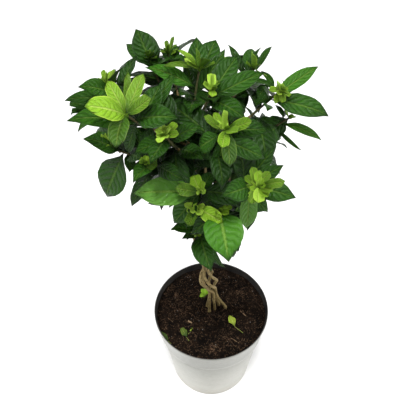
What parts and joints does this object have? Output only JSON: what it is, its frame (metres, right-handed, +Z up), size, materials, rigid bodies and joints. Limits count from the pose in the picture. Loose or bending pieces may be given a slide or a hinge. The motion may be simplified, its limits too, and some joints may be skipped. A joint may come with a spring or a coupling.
{
  "type": "potted gardenia",
  "caption": "Leafy evergreen houseplant with a braided trunk and bright young tips, growing in dark soil in a plain white tapered nursery pot.",
  "frame": {"origin": "middle of the pot's underside, on the floor", "axes": "+Z up along the pot's axis, -Y towards the side that the picture was taken from, +X to the picture's right"},
  "size_m": [0.263, 0.2312, 0.5545],
  "materials": {
    "pot": "satin",
    "soil": "matte",
    "bark": "matte",
    "leaf": "gloss",
    "young_leaf": "gloss",
    "fallen_leaf": "matte",
    "sprout": "satin"
  },
  "bodies": {
    "root": {"pot": "pot", "soil": "soil", "stem_1": "bark", "stem_2": "bark", "stem_3": "bark", "stem_4": "bark", "stem_5": "bark", "shoot_back_left": "leaf", "shoot_back_right": "leaf", "shoot_back_spiky": "leaf", "shoot_far_left": "leaf", "shoot_front_low": "leaf", "shoot_front_low_left": "leaf", "shoot_front_middle": "leaf", "shoot_front_right": "leaf", "shoot_front_top": "leaf", "shoot_hidden_1": "leaf", "shoot_hidden_10": "leaf", "shoot_hidden_11": "leaf", "shoot_hidden_12": "leaf", "shoot_hidden_13": "leaf", "shoot_hidden_2": "leaf", "shoot_hidden_3": "leaf", "shoot_hidden_4": "leaf", "shoot_hidden_5": "leaf", "shoot_hidden_6": "leaf", "shoot_hidden_7": "leaf", "shoot_hidden_8": "leaf", "shoot_hidden_9": "leaf", "shoot_left_low": "leaf", "shoot_left_top": "leaf", "shoot_lowest": "leaf", "shoot_middle_left": "leaf", "shoot_middle_low": "leaf", "shoot_right": "leaf", "shoot_right_low": "leaf", "shoot_top": "leaf", "shoot_top_front": "leaf", "young_back_left": "young_leaf", "young_back_right": "young_leaf", "young_back_spiky": "young_leaf", "young_far_left": "young_leaf", "young_front_low": "young_leaf", "young_front_low_left": "young_leaf", "young_front_middle": "young_leaf", "young_front_right": "young_leaf", "young_front_top": "young_leaf", "young_hidden_4": "young_leaf", "young_left_low": "young_leaf", "young_left_top": "young_leaf", "young_lowest": "young_leaf", "young_middle_left": "young_leaf", "young_middle_low": "young_leaf", "young_right": "young_leaf", "young_right_low": "young_leaf", "young_top": "young_leaf", "young_top_front": "young_leaf", "fallen_leaf_1": "fallen_leaf", "fallen_leaf_2": "fallen_leaf", "sprout": "sprout"}
  },
  "joints": []
}
